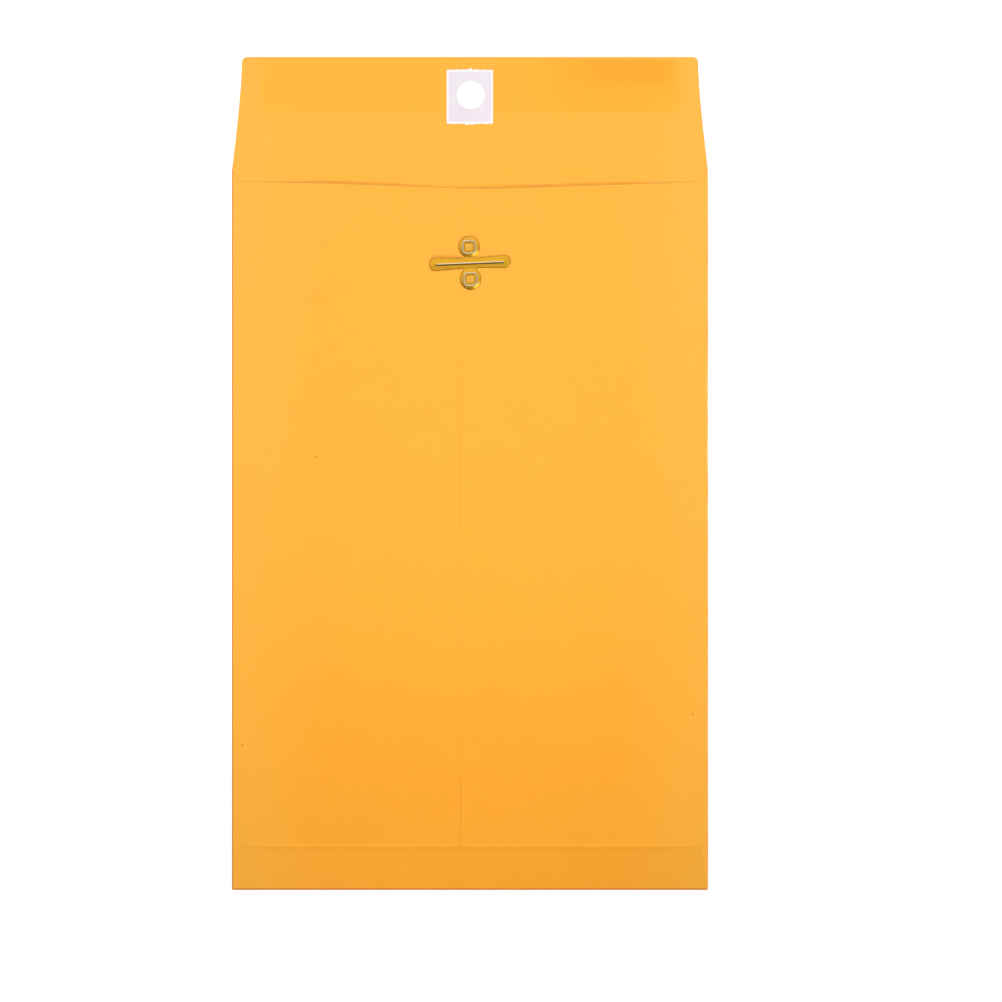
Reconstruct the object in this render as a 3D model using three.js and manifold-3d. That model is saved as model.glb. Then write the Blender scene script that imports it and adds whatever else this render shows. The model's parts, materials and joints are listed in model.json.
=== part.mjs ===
// A 6 x 9 inch clasp envelope, lying open on its address side, in millimetres.
// X runs across the envelope, Y from the bottom fold to the closure flap, Z up from the table.

import * as THREE from 'three';
import { mergeVertices } from 'three/addons/utils/BufferGeometryUtils.js';
import Module from 'manifold-3d';

const wasm = await Module();
wasm.setup();

// Driving dimensions: the folded sheet
const BODY_WIDTH = 152.4;
const BODY_LENGTH = 227.5;
const PAPER = 0.15;
const POCKET_GAP = 0.45;
const GLUE = 0.05;
const FOLD_GAP = 0.15;

// Driving dimensions: the back, where the right panel's free edge lies on the left panel
const SEAM_X = -2.75;
const SEAM_OVERLAP = 19;
const SEAM_GLUE_WIDTH = 12;
const SEAM_GLUE_INSET = 1.6;
const SEAM_GLUE_END = 9;
const THROAT_SIDE_DEPTH = 1.0;
const THROAT_CENTRE_DEPTH = 3.3;
const THROAT_X = 3;
const THROAT_FLAT = 4;
// How the throat's edge runs to each side: 1 is straight, and more than 1 is hollow
const THROAT_LEFT_POWER = 1.45;
const THROAT_RIGHT_POWER = 0.95;
const SLIVER_WIDTH = 1.8;

// Driving dimensions: the bottom flap
const BOTTOM_FLAP_LENGTH = 13.7;
const BOTTOM_FLAP_END_SLANT = 2.4;
const BOTTOM_FLAP_CORNER = 3;
const BOTTOM_GLUE_MARGIN = 2.5;

// Driving dimensions: the closure flap and what is on it
const FLAP_LENGTH = 39.1;
const FLAP_TOP_INSET = 3.2;
const FLAP_SHOULDER = 2.4;
const FLAP_CORNER_RADIUS = 1.8;
// The two handles of each side's curve, as shares of the inset and of the height above the shoulder
const FLAP_LOW_HANDLE = { inset: 0.075, height: 0.08 };
const FLAP_HIGH_HANDLE = { inset: 0.95, height: 0.68 };
const GUM = 0.04;
const GUM_HALF_SPAN = 67.7;
const GUM_WIDTH = 16.6;
const GUM_EDGE_MARGIN = 1;
const GUM_PATCH_GAP = 0.8;
const GUM_CORNER_RADIUS = 2;
const PATCH_THICKNESS = 0.12;
const PATCH_WIDTH = 14.8;
const PATCH_LENGTH = 17.2;
const PATCH_CORNER_RADIUS = 0.3;
const PATCH_X = -0.06;
const PATCH_OFF_HOLE_Y = -0.55;
const HOLE_DIAMETER = 8.9;
const HOLE_X = 0.24;

// Driving dimensions: the clasp
const CLASP_X = -0.04;
const CLASP_DROP = 26.9;
const CLASP_TILT_DEG = 2.4;
const BRASS = 0.25;
const STAMPED_EDGE = 0.06;
const LOBE_DIAMETER = 6.9;
const LOBE_SPACING = 10.3;
const NECK_UPPER_WIDTH = 3.4;
const NECK_LOWER_WIDTH = 4.2;
const EYELET_OPENING = 2.7;
const EYELET_CORNER_RADIUS = 0.6;
const EYELET_WALL = 0.2;
const RIM_WIDTH = 1.05;
const RIM_HEIGHT = 0.2;
const RIM_ROUND = 0.1;
const EYELET_CLEARANCE = 0.2;
const TOOTH_LENGTH = 1.9;
const TOOTH_THICKNESS = 0.2;
const TOOTH_TIP_WIDTH = 0.3;
const PRONG_SPAN = 26.2;
const PRONG_TIP_WIDTH = 4.1;
const PRONG_ROOT_WIDTH = 3.2;
const PRONG_HINGE_X = 2.4;
const PRONG_HINGE_GAP = 0.3;
const RIB_SPAN = 22.3;
const RIB_WIDTH = 1.1;
const RIB_HEIGHT = 0.2;
const RIB_ROUND = 0.15;
const RIB_START = 0.45;
const RIB_WALL = 0.3;

// How far the closed flap's patch stays above the clasp's highest point
const CLOSED_FLAP_CLEARANCE = 0.15;

// Facets
const FOLD_SEGMENTS = 8;
const ROUND_SEGMENTS = 20;
const CORNER_SEGMENTS = 3;
const RIB_END_SEGMENTS = 6;
const RIB_ROUND_SEGMENTS = 3;
const EDGE_ROUND_SEGMENTS = 2;
const THROAT_STEPS = 16;

// Heights of the stacked layers, each the underside of its sheet
const LEFT_PANEL_Z = PAPER + POCKET_GAP;
const RIGHT_PANEL_Z = LEFT_PANEL_Z + PAPER + GLUE;
const CLASP_Z = RIGHT_PANEL_Z + PAPER;
const BOTTOM_FLAP_Z = CLASP_Z + GLUE;
const CLASP_TOP_Z = CLASP_Z + BRASS + Math.max(RIM_HEIGHT, RIB_HEIGHT);

// Fold radii, outside the paper
const LEFT_FOLD_RADIUS = (LEFT_PANEL_Z + PAPER) / 2;
const RIGHT_FOLD_RADIUS = (RIGHT_PANEL_Z + PAPER) / 2;
const BOTTOM_FOLD_RADIUS = (BOTTOM_FLAP_Z + PAPER) / 2;

// Places along the envelope: Y is 0 in the middle of the open envelope's whole length
const BOTTOM_Y = -(BODY_LENGTH + FLAP_LENGTH) / 2;
const PANEL_START_Y = BOTTOM_Y + BOTTOM_FOLD_RADIUS;
const FLAP_FOLD_Y = BOTTOM_Y + BODY_LENGTH;
const FLAP_FOLD_Z = (CLASP_TOP_Z + CLOSED_FLAP_CLEARANCE + PATCH_THICKNESS + PAPER) / 2;
const CLASP_Y = FLAP_FOLD_Y - CLASP_DROP;
const HOLE_Y = CLASP_DROP;

// Places across the envelope
const LEFT_X = -BODY_WIDTH / 2;
const RIGHT_X = BODY_WIDTH / 2;
const LEFT_BEND_X = LEFT_X + LEFT_FOLD_RADIUS;
const RIGHT_BEND_X = RIGHT_X - RIGHT_FOLD_RADIUS;
const LEFT_PANEL_EDGE_X = SEAM_X + SEAM_OVERLAP;

// Where the clasp's arms end, measured from the clasp's centre
const CLASP_ARM_X = PRONG_HINGE_X - PRONG_HINGE_GAP;

// Materials

const goldKraft = { color: 0xffbb46, roughness: 0.72, metalness: 0 };
const goldKraftShade = { color: 0xf4a431, roughness: 0.75, metalness: 0 };
const driedGum = { color: 0xffb942, roughness: 0.35, metalness: 0 };
const glue = { color: 0xe9d9a8, roughness: 0.6, metalness: 0 };
const whitePaper = { color: 0xf2e8ed, roughness: 0.8, metalness: 0 };
const brass = { color: 0xd9a92c, roughness: 0.28, metalness: 1 };

function piece(name, geometry, finish) {
  const mesh = new THREE.Mesh(geometry, new THREE.MeshStandardMaterial(finish));
  mesh.name = name;
  return mesh;
}

// Flat sheets and folds

function sheet(outline, thickness, z) {
  const options = { depth: thickness, bevelEnabled: false, curveSegments: ROUND_SEGMENTS };
  return new THREE.ExtrudeGeometry(outline, options).translate(0, 0, z);
}

function alongX(section, from, to) {
  const options = { depth: to - from, bevelEnabled: false, curveSegments: FOLD_SEGMENTS };
  const turn = new THREE.Matrix4().set(0, 0, 1, from, 1, 0, 0, 0, 0, 1, 0, 0, 0, 0, 0, 1);
  return new THREE.ExtrudeGeometry(section, options).applyMatrix4(turn);
}

function alongY(section, from, to) {
  const options = { depth: to - from, bevelEnabled: false, curveSegments: FOLD_SEGMENTS };
  return new THREE.ExtrudeGeometry(section, options).rotateX(Math.PI / 2).translate(0, to, 0);
}

function polygon(corners) {
  return new THREE.Shape(corners.map(([x, y]) => new THREE.Vector2(x, y)));
}

function rectangle(x0, y0, x1, y1) {
  return polygon([[x0, y0], [x1, y0], [x1, y1], [x0, y1]]);
}

// The points of a rectangle with round corners, which a shape or a hole is made from
function roundedCorners(x0, y0, x1, y1, radius) {
  const path = new THREE.Path();
  path.moveTo(x1, y1 - radius);
  path.absarc(x1 - radius, y1 - radius, radius, 0, Math.PI / 2);
  path.absarc(x0 + radius, y1 - radius, radius, Math.PI / 2, Math.PI);
  path.absarc(x0 + radius, y0 + radius, radius, Math.PI, 1.5 * Math.PI);
  path.absarc(x1 - radius, y0 + radius, radius, 1.5 * Math.PI, 2 * Math.PI);
  return path.getPoints(CORNER_SEGMENTS);
}

function roundedRectangle(x0, y0, x1, y1, radius) {
  return new THREE.Shape(roundedCorners(x0, y0, x1, y1, radius));
}

function squareOutline(half, y, radius) {
  return roundedRectangle(-half, y - half, half, y + half, radius);
}

function squareOpening(half, y, radius) {
  return new THREE.Path(roundedCorners(-half, y - half, half, y + half, radius));
}

// Half a paper tube: the section of a fold that opens towards +X, centred one radius in from x
function foldSection(x, radius) {
  const section = new THREE.Shape();
  section.absarc(x + radius, radius, radius, Math.PI / 2, 1.5 * Math.PI);
  section.absarc(x + radius, radius, radius - PAPER, 1.5 * Math.PI, Math.PI / 2, true);
  return section;
}

// Closed solids that are joined and cut

function solid(geometry) {
  const bare = geometry.clone();
  bare.deleteAttribute('normal');
  bare.deleteAttribute('uv');
  const merged = mergeVertices(bare, 1e-5);
  return new wasm.Manifold(new wasm.Mesh({
    numProp: 3,
    vertProperties: new Float32Array(merged.attributes.position.array),
    triVerts: new Uint32Array(merged.index.array),
  }));
}

function geometryOf(manifold) {
  const mesh = manifold.getMesh();
  const geometry = new THREE.BufferGeometry();
  geometry.setAttribute('position', new THREE.BufferAttribute(mesh.vertProperties, 3));
  geometry.setIndex(new THREE.BufferAttribute(mesh.triVerts, 1));
  geometry.computeVertexNormals();
  return geometry;
}

function joined(geometries) {
  return geometries.map(solid).reduce((whole, next) => whole.add(next));
}

// The body: front panel and the three folds that rise from it

function frontPanel() {
  return sheet(rectangle(LEFT_BEND_X, PANEL_START_Y, RIGHT_BEND_X, FLAP_FOLD_Y), PAPER, 0);
}

function leftSideFold() {
  return alongY(foldSection(LEFT_X, LEFT_FOLD_RADIUS), PANEL_START_Y, FLAP_FOLD_Y);
}

function rightSideFold() {
  return alongY(foldSection(-RIGHT_X, RIGHT_FOLD_RADIUS), PANEL_START_Y, FLAP_FOLD_Y)
    .rotateZ(Math.PI)
    .translate(0, PANEL_START_Y + FLAP_FOLD_Y, 0);
}

function bottomFold() {
  return alongX(foldSection(BOTTOM_Y, BOTTOM_FOLD_RADIUS), LEFT_BEND_X, RIGHT_BEND_X);
}

// The back wall

// The throat is a shallow V across the top of the back, blunt where it is deepest
function throatY(x) {
  const reach = BODY_WIDTH / 2 - THROAT_FLAT - THROAT_X * Math.sign(x - THROAT_X);
  const fromMiddle = Math.max(Math.abs(x - THROAT_X) - THROAT_FLAT, 0) / reach;
  const power = x < THROAT_X ? THROAT_LEFT_POWER : THROAT_RIGHT_POWER;
  const drop = (THROAT_CENTRE_DEPTH - THROAT_SIDE_DEPTH) * (1 - fromMiddle) ** power;
  return FLAP_FOLD_Y - THROAT_SIDE_DEPTH - drop;
}

// The hole in the back for one eyelet, turned and placed as the clasp is
function eyeletHole(side) {
  const half = EYELET_OPENING / 2 + EYELET_WALL + EYELET_CLEARANCE;
  const corners = roundedCorners(-half, -half, half, half, EYELET_CORNER_RADIUS + EYELET_WALL);
  const tilt = THREE.MathUtils.degToRad(CLASP_TILT_DEG);
  const middle = new THREE.Vector2();
  const centre = new THREE.Vector2(0, side * LOBE_SPACING / 2).rotateAround(middle, tilt);
  const place = (point) => point.rotateAround(middle, tilt).add(centre)
    .add(new THREE.Vector2(CLASP_X, CLASP_Y));
  return new THREE.Path(corners.map(place));
}

// One side panel, from its side fold at foldX to its free edge at edgeX
function sidePanel(foldX, edgeX, z) {
  const inward = Math.sign(edgeX - foldX);
  const startX = foldX + inward * FOLD_GAP;
  const startY = PANEL_START_Y + FOLD_GAP;
  const sliverX = foldX + inward * SLIVER_WIDTH;
  const outline = new THREE.Shape();
  outline.moveTo(startX, startY);
  outline.lineTo(edgeX, startY);
  for (let step = 0; step <= THROAT_STEPS; step += 1) {
    const x = THREE.MathUtils.lerp(edgeX, sliverX, step / THROAT_STEPS);
    outline.lineTo(x, throatY(x));
  }
  outline.lineTo((startX + sliverX) / 2, FLAP_FOLD_Y - FOLD_GAP);
  outline.lineTo(startX, FLAP_FOLD_Y - FOLD_GAP);
  outline.holes.push(eyeletHole(1), eyeletHole(-1));
  return sheet(outline, PAPER, z);
}

function seamAdhesive() {
  const x1 = LEFT_PANEL_EDGE_X - SEAM_GLUE_INSET;
  const y0 = PANEL_START_Y + SEAM_GLUE_END;
  const y1 = FLAP_FOLD_Y - SEAM_GLUE_END;
  const strip = roundedRectangle(x1 - SEAM_GLUE_WIDTH, y0, x1, y1, SEAM_GLUE_INSET);
  return sheet(strip, GLUE, LEFT_PANEL_Z + PAPER);
}

function bottomFlap() {
  const y0 = PANEL_START_Y + FOLD_GAP;
  const y1 = BOTTOM_Y + BOTTOM_FLAP_LENGTH;
  const cornerX = RIGHT_X - BOTTOM_FLAP_END_SLANT;
  const roundY = y1 - BOTTOM_FLAP_CORNER;
  const sideX = THREE.MathUtils.mapLinear(roundY, y0, y1, RIGHT_BEND_X, cornerX);
  const outline = new THREE.Shape();
  outline.moveTo(LEFT_BEND_X, y0);
  outline.lineTo(RIGHT_BEND_X, y0);
  outline.lineTo(sideX, roundY);
  outline.quadraticCurveTo(cornerX, y1, cornerX - BOTTOM_FLAP_CORNER, y1);
  outline.lineTo(BOTTOM_FLAP_CORNER - cornerX, y1);
  outline.quadraticCurveTo(-cornerX, y1, -sideX, roundY);
  return sheet(outline, PAPER, BOTTOM_FLAP_Z);
}

// The glue is thicker left of the seam, where it reaches down to the lower side panel
function bottomAdhesive() {
  const x0 = LEFT_X + BOTTOM_FLAP_END_SLANT + BOTTOM_GLUE_MARGIN;
  const x1 = RIGHT_X - BOTTOM_FLAP_END_SLANT - BOTTOM_GLUE_MARGIN;
  const stepX = SEAM_X - FOLD_GAP;
  const section = polygon([
    [x0, LEFT_PANEL_Z + PAPER],
    [stepX, LEFT_PANEL_Z + PAPER],
    [stepX, CLASP_Z],
    [x1, CLASP_Z],
    [x1, BOTTOM_FLAP_Z],
    [x0, BOTTOM_FLAP_Z],
  ]);
  const y0 = PANEL_START_Y + BOTTOM_GLUE_MARGIN;
  const y1 = BOTTOM_Y + BOTTOM_FLAP_LENGTH - BOTTOM_GLUE_MARGIN;
  return alongY(section, y0, y1);
}

// The closure flap, drawn from its fold

function claspHole() {
  return new THREE.Path().absarc(HOLE_X, HOLE_Y, HOLE_DIAMETER / 2, 0, 2 * Math.PI);
}

// The flap's sides run straight to the shoulder, draw in steadily and ease off near the top
function closureFlap() {
  const topX = RIGHT_X - FLAP_TOP_INSET;
  const topY = FLAP_LENGTH - FLAP_CORNER_RADIUS;
  const lowX = RIGHT_X - FLAP_TOP_INSET * FLAP_LOW_HANDLE.inset;
  const lowY = THREE.MathUtils.lerp(FLAP_SHOULDER, topY, FLAP_LOW_HANDLE.height);
  const highX = RIGHT_X - FLAP_TOP_INSET * FLAP_HIGH_HANDLE.inset;
  const highY = THREE.MathUtils.lerp(FLAP_SHOULDER, topY, FLAP_HIGH_HANDLE.height);
  const cornerX = topX - FLAP_CORNER_RADIUS;
  const outline = new THREE.Shape();
  outline.moveTo(LEFT_X, FOLD_GAP);
  outline.lineTo(RIGHT_X, FOLD_GAP);
  outline.lineTo(RIGHT_X, FLAP_SHOULDER);
  outline.bezierCurveTo(lowX, lowY, highX, highY, topX, topY);
  outline.absarc(cornerX, topY, FLAP_CORNER_RADIUS, 0, Math.PI / 2);
  outline.absarc(-cornerX, topY, FLAP_CORNER_RADIUS, Math.PI / 2, Math.PI);
  outline.bezierCurveTo(-highX, highY, -lowX, lowY, LEFT_X, FLAP_SHOULDER);
  outline.holes.push(claspHole());
  return sheet(outline, PAPER, 0);
}

function reinforcementPatch() {
  const patchY = HOLE_Y + PATCH_OFF_HOLE_Y;
  const outline = roundedRectangle(
    PATCH_X - PATCH_WIDTH / 2,
    patchY - PATCH_LENGTH / 2,
    PATCH_X + PATCH_WIDTH / 2,
    patchY + PATCH_LENGTH / 2,
    PATCH_CORNER_RADIUS,
  );
  outline.holes.push(claspHole());
  return sheet(outline, PATCH_THICKNESS, PAPER);
}

function gumStrip(side) {
  const nearX = PATCH_X * side + PATCH_WIDTH / 2 + GUM_PATCH_GAP;
  const y1 = FLAP_LENGTH - GUM_EDGE_MARGIN;
  const outline = side > 0
    ? roundedRectangle(nearX, y1 - GUM_WIDTH, GUM_HALF_SPAN, y1, GUM_CORNER_RADIUS)
    : roundedRectangle(-GUM_HALF_SPAN, y1 - GUM_WIDTH, -nearX, y1, GUM_CORNER_RADIUS);
  return sheet(outline, GUM, PAPER);
}

// The clasp, drawn about its own centre with its prongs along X and Z at the paper that it lies on

// A flat stamping whose cut edges are slightly rounded over
function stamping(outline) {
  return new THREE.ExtrudeGeometry(outline, {
    depth: BRASS - 2 * STAMPED_EDGE,
    bevelThickness: STAMPED_EDGE,
    bevelSize: STAMPED_EDGE,
    bevelOffset: -STAMPED_EDGE,
    bevelSegments: EDGE_ROUND_SEGMENTS,
    curveSegments: ROUND_SEGMENTS,
  }).translate(0, 0, STAMPED_EDGE);
}

// A long round-ended ridge along X, half sunk in the plate that carries it
function ridge(x0, x1, width, height) {
  const half = width / 2 - RIB_ROUND;
  const outline = new THREE.Shape();
  outline.absarc(x1 - width / 2, 0, half, -Math.PI / 2, Math.PI / 2);
  outline.absarc(x0 + width / 2, 0, half, Math.PI / 2, 1.5 * Math.PI);
  return solid(new THREE.ExtrudeGeometry(outline, {
    depth: height - RIB_ROUND,
    bevelThickness: RIB_ROUND,
    bevelSize: RIB_ROUND,
    bevelSegments: RIB_ROUND_SEGMENTS,
    curveSegments: RIB_END_SEGMENTS,
  }));
}

// Presses a rib from x0 to x1 into a plate: a ridge above and its hollow below
function ribbed(plate, x0, x1) {
  const rib = ridge(x0, x1, RIB_WIDTH, RIB_HEIGHT).translate(0, 0, BRASS);
  const hollow = ridge(x0 + RIB_WALL, x1 - RIB_WALL, RIB_WIDTH - RIB_WALL, RIB_HEIGHT);
  return plate.add(rib).subtract(hollow);
}

// Two round lobes joined by a neck, with a short arm on each side that the prongs grow from
function claspPlate() {
  const radius = LOBE_DIAMETER / 2;
  const lobeY = LOBE_SPACING / 2;
  const upper = Math.asin(NECK_UPPER_WIDTH / 2 / radius);
  const lower = Math.asin(NECK_LOWER_WIDTH / 2 / radius);
  const armHalf = PRONG_ROOT_WIDTH / 2;
  const outline = new THREE.Shape();
  outline.absarc(0, lobeY, radius, upper - Math.PI / 2, 1.5 * Math.PI - upper);
  outline.lineTo(-CLASP_ARM_X, armHalf);
  outline.lineTo(-CLASP_ARM_X, -armHalf);
  outline.absarc(0, -lobeY, radius, Math.PI / 2 + lower, 2.5 * Math.PI - lower);
  outline.lineTo(CLASP_ARM_X, -armHalf);
  outline.lineTo(CLASP_ARM_X, armHalf);
  for (const side of [1, -1]) {
    outline.holes.push(squareOpening(EYELET_OPENING / 2, side * lobeY, EYELET_CORNER_RADIUS));
  }
  return stamping(outline);
}

// A rolled square rim that stands on the plate round the eyelet
function eyeletRim(y) {
  const inner = EYELET_OPENING / 2 + RIM_ROUND;
  const outer = EYELET_OPENING / 2 + RIM_WIDTH - RIM_ROUND;
  const ring = squareOutline(outer, y, EYELET_CORNER_RADIUS + RIM_WIDTH / 2);
  ring.holes.push(squareOpening(inner, y, EYELET_CORNER_RADIUS + RIM_ROUND));
  return new THREE.ExtrudeGeometry(ring, {
    depth: RIM_HEIGHT,
    bevelThickness: RIM_ROUND,
    bevelSize: RIM_ROUND,
    bevelSegments: EDGE_ROUND_SEGMENTS,
  }).translate(0, 0, BRASS - RIM_ROUND);
}

// The square tube that passes down through both side panels
function eyeletBarrel(y) {
  const inner = EYELET_OPENING / 2;
  const outer = inner + EYELET_WALL;
  const ring = squareOutline(outer, y, EYELET_CORNER_RADIUS + EYELET_WALL);
  ring.holes.push(squareOpening(inner, y, EYELET_CORNER_RADIUS));
  const bottom = LEFT_PANEL_Z - TOOTH_THICKNESS - CLASP_Z;
  return new THREE.ExtrudeGeometry(ring, {
    depth: BRASS / 2 - bottom,
    bevelEnabled: false,
  }).translate(0, 0, bottom);
}

// One triangular tooth, bent out flat against the inside of the back
function clinchedTooth(y, quarter) {
  const rootX = EYELET_OPENING / 2 + EYELET_WALL / 2;
  const tipX = EYELET_OPENING / 2 + EYELET_WALL + TOOTH_LENGTH;
  const rootHalf = EYELET_OPENING / 2 - EYELET_CORNER_RADIUS / 2;
  const tipHalf = TOOTH_TIP_WIDTH / 2;
  const outline = polygon([[rootX, -rootHalf], [tipX, -tipHalf], [tipX, tipHalf], [rootX, rootHalf]]);
  return sheet(outline, TOOTH_THICKNESS, LEFT_PANEL_Z - TOOTH_THICKNESS - CLASP_Z)
    .rotateZ(quarter * Math.PI / 2)
    .translate(0, y, 0);
}

function claspBase() {
  const members = [claspPlate()];
  for (const side of [1, -1]) {
    const y = side * LOBE_SPACING / 2;
    members.push(eyeletRim(y), eyeletBarrel(y));
    for (let quarter = 0; quarter < 4; quarter += 1) {
      members.push(clinchedTooth(y, quarter));
    }
  }
  return geometryOf(ribbed(joined(members), -CLASP_ARM_X, CLASP_ARM_X));
}

// One prong, drawn from its root towards +X: a widening strip with a round tip, pressed into a rib
function prong() {
  const length = PRONG_SPAN / 2 - PRONG_HINGE_X;
  const tip = PRONG_TIP_WIDTH / 2;
  const outline = new THREE.Shape();
  outline.moveTo(0, -PRONG_ROOT_WIDTH / 2);
  outline.lineTo(length - tip, -tip);
  outline.absarc(length - tip, 0, tip, -Math.PI / 2, Math.PI / 2);
  outline.lineTo(0, PRONG_ROOT_WIDTH / 2);
  return geometryOf(ribbed(solid(stamping(outline)), RIB_START, RIB_SPAN / 2 - PRONG_HINGE_X));
}

// Assembly

const envelope = new THREE.Group();

const body = new THREE.Group();
body.add(piece('front_panel', frontPanel(), goldKraft));
body.add(piece('left_side_fold', leftSideFold(), goldKraft));
body.add(piece('right_side_fold', rightSideFold(), goldKraft));
body.add(piece('bottom_fold', bottomFold(), goldKraft));
envelope.add(body);

const back = new THREE.Group();
back.add(piece('left_side_panel', sidePanel(LEFT_BEND_X, LEFT_PANEL_EDGE_X, LEFT_PANEL_Z), goldKraft));
back.add(piece('right_side_panel', sidePanel(RIGHT_BEND_X, SEAM_X, RIGHT_PANEL_Z), goldKraft));
back.add(piece('seam_adhesive', seamAdhesive(), glue));
back.add(piece('bottom_flap', bottomFlap(), goldKraftShade));
back.add(piece('bottom_adhesive', bottomAdhesive(), glue));
envelope.add(back);

const flap = new THREE.Group();
flap.position.set(0, FLAP_FOLD_Y, 0);
flap.add(piece('closure_flap', closureFlap(), goldKraft));
flap.add(piece('reinforcement_patch', reinforcementPatch(), whitePaper));
flap.add(piece('gum_strip_left', gumStrip(-1), driedGum));
flap.add(piece('gum_strip_right', gumStrip(1), driedGum));
envelope.add(flap);

const clasp = new THREE.Group();
clasp.position.set(CLASP_X, CLASP_Y, CLASP_Z);
clasp.rotation.z = THREE.MathUtils.degToRad(CLASP_TILT_DEG);
clasp.add(piece('clasp_base', claspBase(), brass));

const rightProng = piece('clasp_prong_right', prong(), brass);
rightProng.position.x = PRONG_HINGE_X;
clasp.add(rightProng);

const leftProng = piece('clasp_prong_left', prong(), brass);
leftProng.position.x = -PRONG_HINGE_X;
leftProng.rotation.z = Math.PI;
clasp.add(leftProng);
envelope.add(clasp);

export default envelope;
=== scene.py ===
"""The looks of a 6 x 9 inch clasp envelope, lying open on its address side.

X runs across the envelope, Y from the bottom fold to the closure flap, Z up from the table.
Lengths are in metres. The paper is one folded sheet: every paper piece is drawn flat, on the
blank, and then laid or folded into its place.
"""

import json
import math

import bmesh
import bpy
import numpy as np
from mathutils import Matrix, Vector
from mathutils.geometry import delaunay_2d_cdt


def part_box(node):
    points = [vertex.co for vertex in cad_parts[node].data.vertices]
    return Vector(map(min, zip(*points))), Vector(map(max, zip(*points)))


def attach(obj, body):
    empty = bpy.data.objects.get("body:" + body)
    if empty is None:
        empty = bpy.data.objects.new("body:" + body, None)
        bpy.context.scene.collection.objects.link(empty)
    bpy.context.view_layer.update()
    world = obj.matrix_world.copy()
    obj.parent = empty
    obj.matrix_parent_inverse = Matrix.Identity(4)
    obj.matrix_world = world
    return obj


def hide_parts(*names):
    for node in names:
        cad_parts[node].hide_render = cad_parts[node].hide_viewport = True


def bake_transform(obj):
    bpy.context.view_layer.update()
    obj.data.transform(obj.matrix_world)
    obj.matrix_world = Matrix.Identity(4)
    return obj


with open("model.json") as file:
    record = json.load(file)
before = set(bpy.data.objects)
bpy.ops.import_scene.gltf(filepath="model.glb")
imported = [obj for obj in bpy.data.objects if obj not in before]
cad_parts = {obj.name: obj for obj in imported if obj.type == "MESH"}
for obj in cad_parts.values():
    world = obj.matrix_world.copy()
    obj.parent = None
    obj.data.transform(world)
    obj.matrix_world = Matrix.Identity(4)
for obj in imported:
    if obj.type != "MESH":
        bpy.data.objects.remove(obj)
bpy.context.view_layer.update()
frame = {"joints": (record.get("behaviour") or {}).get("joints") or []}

MM = 0.001
SIDES = ((-1, "left"), (1, "right"))

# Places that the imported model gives

LEFT_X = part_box("left_side_fold")[0].x
RIGHT_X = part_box("right_side_fold")[1].x
BOTTOM_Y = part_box("bottom_fold")[0].y
FOLD_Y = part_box("front_panel")[1].y
TOP_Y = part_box("closure_flap")[1].y
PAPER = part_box("front_panel")[1].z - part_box("front_panel")[0].z
PANEL_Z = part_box("left_side_panel")[0].z
SEAM_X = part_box("right_side_panel")[0].x
HIDDEN_EDGE_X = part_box("left_side_panel")[1].x
FLAP_EDGE_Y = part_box("bottom_flap")[1].y
CLASP_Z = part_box("right_side_panel")[1].z
PRONG_HINGES = [joint["pos_m"] for joint in frame["joints"] if joint["name"].endswith("prong_bend")]
CLASP_X, CLASP_Y = (sum(hinge[axis] for hinge in PRONG_HINGES) / 2 for axis in (0, 1))

# How the paper lies. The side folds and the bottom are pressed flat, and the back swells between
# them to the height at which the clasp is riveted.

FOLD_RADIUS = 0.26 * MM
CRUSHED_FOLD_RADIUS = 0.165 * MM
CRUSHED_REACH = 16 * MM
SWELL_REACH = 42 * MM
PANEL_RISE_REACH = 8 * MM
FRONT_BULGE = 0.2 * MM
BULGE_REACH = 40 * MM
GLUE = 0.05 * MM
THIN_GLUE = 0.2
GLUE_END = 2 * MM
GLUE_END_FADE = 10 * MM
GLUE_CLEAR = 0.004 * MM
OVERLAP_FADE = 14 * MM
SLIVER_WIDTH = 1.8 * MM

# The mouth, whose middle sinks a little: how deep, how wide across and how far down from the fold

MOUTH_DIP = 0.28 * MM
MOUTH_HALF_WIDTH = 32 * MM
MOUTH_REACH = 17 * MM

# The seam, whose free edge stands open in two zones along Y and is held down by the clasp

SEAM_LIFT = 0.18 * MM
SEAM_PRESS = 0.04 * MM
SEAM_CURL = 5 * MM
SEAM_OPEN_ZONES = ((-24 * MM, 21 * MM), (-119 * MM, -97 * MM))
SEAM_ZONE_FADE = 9 * MM
SEAM_STEP = 3 * MM
SEAM_SHEARED = 0.04 * MM
CLASP_HOLD = 9 * MM
CLASP_HOLD_FADE = 6 * MM

# The throat, a shallow V across the top of the back

THROAT_SIDE_DEPTH = 1.0 * MM
THROAT_CENTRE_DEPTH = 3.3 * MM
THROAT_X = 3 * MM
THROAT_FLAT = 4 * MM
THROAT_LEFT_POWER = 1.45
THROAT_RIGHT_POWER = 0.95
THROAT_SHEARED = 0.16 * MM

# The bottom flap, pressed into the back and squeezed thin along its edge

BOTTOM_PRESS = 0.1 * MM
BOTTOM_PRESS_RAMP = 0.3 * MM
PRESS_START = 3 * MM
PRESS_FADE = 9 * MM
BOTTOM_SQUEEZE = 0.4
BOTTOM_EDGE_REACH = 1.5 * MM
BOTTOM_FLAP_SHEARED = 0.06 * MM
BOTTOM_FLAP_INSET = 0.12 * MM
BOTTOM_FLAP_SLANT = 2.4 * MM
BOTTOM_FLAP_CORNER = 3 * MM

# The closure flap and its hole. Its sides' curves have handles, as shares of its inset and height.

FLAP_TOP_INSET = 3.2 * MM
FLAP_CORNER_RADIUS = 1.8 * MM
FLAP_SHOULDER = 2.4 * MM
FLAP_LOW_HANDLE = (0.075, 0.08)
FLAP_HIGH_HANDLE = (0.95, 0.68)
CREASE_HALF = 0.6 * MM
HOLE_X = 0.24 * MM
HOLE_Y = FOLD_Y + 26.9 * MM
HOLE_RADIUS = 4.45 * MM

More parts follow.
